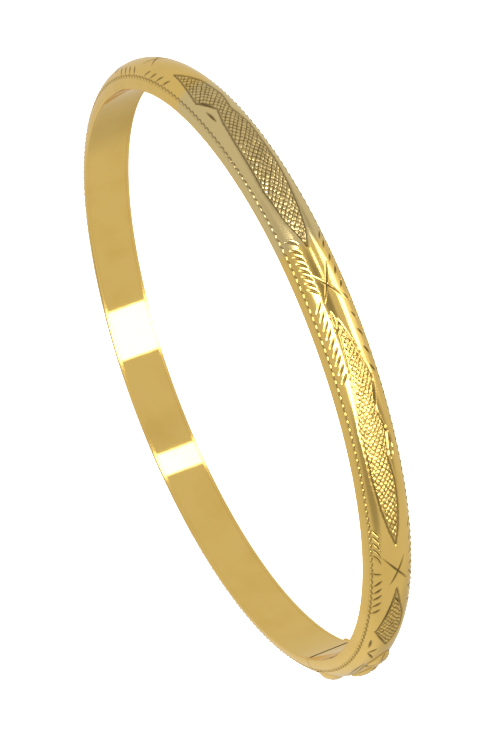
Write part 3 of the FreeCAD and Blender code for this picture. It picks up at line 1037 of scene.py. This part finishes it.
class BANGLE_OT_stage(bpy.types.Operator):
    """Set the pale table, the soft light and the camera"""

    bl_idname = "bangle.stage"
    bl_label = "Table, light and camera"

    def execute(self, context):
        studio = settings().studio
        self.table()
        self.room(studio)
        self.lamps()
        self.camera(studio)
        context.scene.view_settings.view_transform = "Standard"
        return {"FINISHED"}

    def table(self):
        """A wide pale table under the bangle."""
        bm = bmesh.new()
        bmesh.ops.create_grid(bm, x_segments=1, y_segments=1, size=3.0)
        low = CAD_BOX[0].z
        bmesh.ops.translate(bm, vec=(0, 0, low), verts=bm.verts)
        mesh = bpy.data.meshes.new("table")
        bm.to_mesh(mesh)
        bm.free()
        floor = bpy.data.objects.new("table", mesh)
        bpy.context.scene.collection.objects.link(floor)
        material = bpy.data.materials.new("table_white")
        material.use_nodes = True
        tree = material.node_tree
        shader = tree.nodes["Principled BSDF"]
        shader.inputs["Base Color"].default_value = (0.9, 0.9, 0.9, 1)
        shader.inputs["Roughness"].default_value = 0.9
        shader.inputs["Emission Color"].default_value = (1, 1, 1, 1)
        shader.inputs["Emission Strength"].default_value = 1.0
        clear = add_node(tree, "ShaderNodeBsdfTransparent", (1, -1))
        behind = add_node(tree, "ShaderNodeNewGeometry", (0, 2))
        pick = add_node(tree, "ShaderNodeMixShader", (2, 0))
        output = tree.nodes["Material Output"]
        tree.links.new(behind.outputs["Backfacing"], pick.inputs["Fac"])
        tree.links.new(shader.outputs[0], pick.inputs[1])
        tree.links.new(clear.outputs[0], pick.inputs[2])
        tree.links.new(pick.outputs[0], output.inputs["Surface"])
        mesh.materials.append(material)
        floor.visible_glossy = False
        floor.visible_shadow = False

    def room(self, studio):
        """A pale room with softboxes; the camera sees plain white behind the bangle."""
        world = bpy.data.worlds.new("studio")
        bpy.context.scene.world = world
        world.use_nodes = True
        tree = world.node_tree
        tree.nodes.clear()
        base = add_node(tree, "ShaderNodeValue", (-5, 3))
        base.outputs[0].default_value = studio.room
        total = base.outputs[0]
        for aim, inner, outer, gain in PATCHES:
            lobe = world_lobe(tree, toward(*aim), inner, outer)
            scaled = add_node(tree, "ShaderNodeMath", (-4, 1), operation="MULTIPLY_ADD")
            scaled.inputs[1].default_value = gain
            tree.links.new(lobe, scaled.inputs[0])
            tree.links.new(total, scaled.inputs[2])
            total = scaled.outputs[0]
        for azimuth, width, low, high, gain in SOFTBOXES:
            box = self.softbox(tree, azimuth, width, low, high)
            scaled = add_node(tree, "ShaderNodeMath", (-3, 1), operation="MULTIPLY_ADD")
            scaled.inputs[1].default_value = studio.softbox * gain
            tree.links.new(box, scaled.inputs[0])
            tree.links.new(total, scaled.inputs[2])
            total = scaled.outputs[0]
        seen = add_node(tree, "ShaderNodeBackground", (0, 1))
        seen.inputs["Color"].default_value = (1, 1, 1, 1)
        seen.inputs["Strength"].default_value = 1.0
        felt = add_node(tree, "ShaderNodeBackground", (0, 0))
        felt.inputs["Color"].default_value = (1.0, 0.995, 0.98, 1)
        path = add_node(tree, "ShaderNodeLightPath", (0, 3))
        pick = add_node(tree, "ShaderNodeMixShader", (1, 0))
        output = add_node(tree, "ShaderNodeOutputWorld", (2, 0))
        tree.links.new(total, felt.inputs["Strength"])
        tree.links.new(path.outputs["Is Camera Ray"], pick.inputs["Fac"])
        tree.links.new(felt.outputs[0], pick.inputs[1])
        tree.links.new(seen.outputs[0], pick.inputs[2])
        tree.links.new(pick.outputs[0], output.inputs["Surface"])

    def softbox(self, tree, azimuth, width, low, high):
        """A rectangular softbox: 1 between two azimuths and two elevations, 0 elsewhere."""
        coords = add_node(tree, "ShaderNodeTexCoord", (-8, -2))
        turn = add_node(tree, "ShaderNodeMapping", (-7, -2), vector_type="POINT")
        turn.inputs["Rotation"].default_value = (0, 0, -math.radians(azimuth))
        split = add_node(tree, "ShaderNodeSeparateXYZ", (-6, -2))
        tree.links.new(coords.outputs["Generated"], turn.inputs["Vector"])
        tree.links.new(turn.outputs["Vector"], split.inputs["Vector"])
        swing = add_node(tree, "ShaderNodeMath", (-5, -2), operation="ARCTAN2")
        tree.links.new(split.outputs["Y"], swing.inputs[0])
        tree.links.new(split.outputs["X"], swing.inputs[1])
        away = add_node(tree, "ShaderNodeMath", (-4, -2), operation="ABSOLUTE")
        tree.links.new(swing.outputs[0], away.inputs[0])
        side = self.step(tree, away.outputs[0], math.radians(width / 2), -math.radians(0.7))
        over = self.step(tree, split.outputs["Z"], math.sin(math.radians(low)), 0.02)
        under = self.step(tree, split.outputs["Z"], math.sin(math.radians(high)), -0.02)
        first = add_node(tree, "ShaderNodeMath", (-2, -2), operation="MULTIPLY")
        tree.links.new(side, first.inputs[0])
        tree.links.new(over, first.inputs[1])
        both = add_node(tree, "ShaderNodeMath", (-1, -2), operation="MULTIPLY")
        tree.links.new(first.outputs[0], both.inputs[0])
        tree.links.new(under, both.inputs[1])
        return both.outputs[0]

    def step(self, tree, value, place, softness):
        """Rise from 0 to 1 round a place, or fall where the softness is negative."""
        ramp = add_node(tree, "ShaderNodeMapRange", (-3, -3), interpolation_type="SMOOTHSTEP")
        ramp.inputs["From Min"].default_value = place - softness
        ramp.inputs["From Max"].default_value = place + softness
        tree.links.new(value, ramp.inputs["Value"])
        return ramp.outputs["Result"]

    def lamps(self):
        """One big overhead softbox that lights the table and throws a soft shadow."""
        light = bpy.data.lights.new("overhead", "AREA")
        light.shape = "DISK"
        light.size = 0.9
        light.energy = 6.0
        lamp = bpy.data.objects.new("overhead", light)
        lamp.location = OVERHEAD_PLACE
        lamp.rotation_euler = Vector(OVERHEAD_PLACE).to_track_quat("Z", "Y").to_euler()
        lamp.visible_glossy = False
        bpy.context.scene.collection.objects.link(lamp)

    def camera(self, studio):
        """The camera, turned about its own axis so that the bangle stands on its clasp."""
        data = bpy.data.cameras.new("camera")
        data.lens = studio.lens
        data.sensor_width = 36.0
        data.clip_start, data.clip_end = 0.01, 20.0
        camera = bpy.data.objects.new("camera", data)
        a, e = studio.azimuth, studio.elevation
        back = Vector((math.sin(a) * math.cos(e), -math.cos(a) * math.cos(e), math.sin(e)))
        upright = back.to_track_quat("Z", "Y").to_matrix()
        turned = upright @ Matrix.Rotation(-studio.roll, 3, "Z")
        slide = turned @ Vector((studio.slide[0], studio.slide[1], studio.distance))
        camera.matrix_world = Matrix.Translation(slide) @ turned.to_4x4()
        bpy.context.scene.collection.objects.link(camera)
        bpy.context.scene.camera = camera


class BangleSettings(bpy.types.PropertyGroup):
    """All of the bangle's settings."""

    sizes: PointerProperty(type=BangleSizes, name="Sizes", description="Mesh sizes")
    engraving: PointerProperty(type=BangleEngraving, name="Engraving", description="Cuts")
    gold: PointerProperty(type=BangleGold, name="Gold", description="Colours of the gold")
    studio: PointerProperty(type=BangleStudio, name="Studio", description="Camera and light")


class BANGLE_PT_sidebar(bpy.types.Panel):
    """Lists the bangle's pieces and the stage"""

    bl_idname = "BANGLE_PT_sidebar"
    bl_label = "Bangle"
    bl_space_type = "VIEW_3D"
    bl_region_type = "UI"
    bl_category = "Bangle"

    def draw(self, context):
        for operator in OPERATORS:
            self.layout.operator(operator.bl_idname)


OPERATORS = (BANGLE_OT_findings, BANGLE_OT_shells, BANGLE_OT_liners, BANGLE_OT_stage)
CLASSES = (
    BangleSizes, BangleEngraving, BangleGold, BangleStudio, BangleSettings, *OPERATORS,
    BANGLE_PT_sidebar,
)


def register():
    """Register the classes and put the settings on the scene."""
    for item in CLASSES:
        bpy.utils.register_class(item)
    bpy.types.Scene.bangle = PointerProperty(type=BangleSettings)


def unregister():
    """Take the settings off the scene and unregister the classes."""
    del bpy.types.Scene.bangle
    for item in reversed(CLASSES):
        bpy.utils.unregister_class(item)


def main():
    """Build everything in order."""
    register()
    bpy.ops.bangle.findings()
    bpy.ops.bangle.shells()
    bpy.ops.bangle.liners()
    bpy.ops.bangle.stage()


if __name__ == "__main__":
    main()
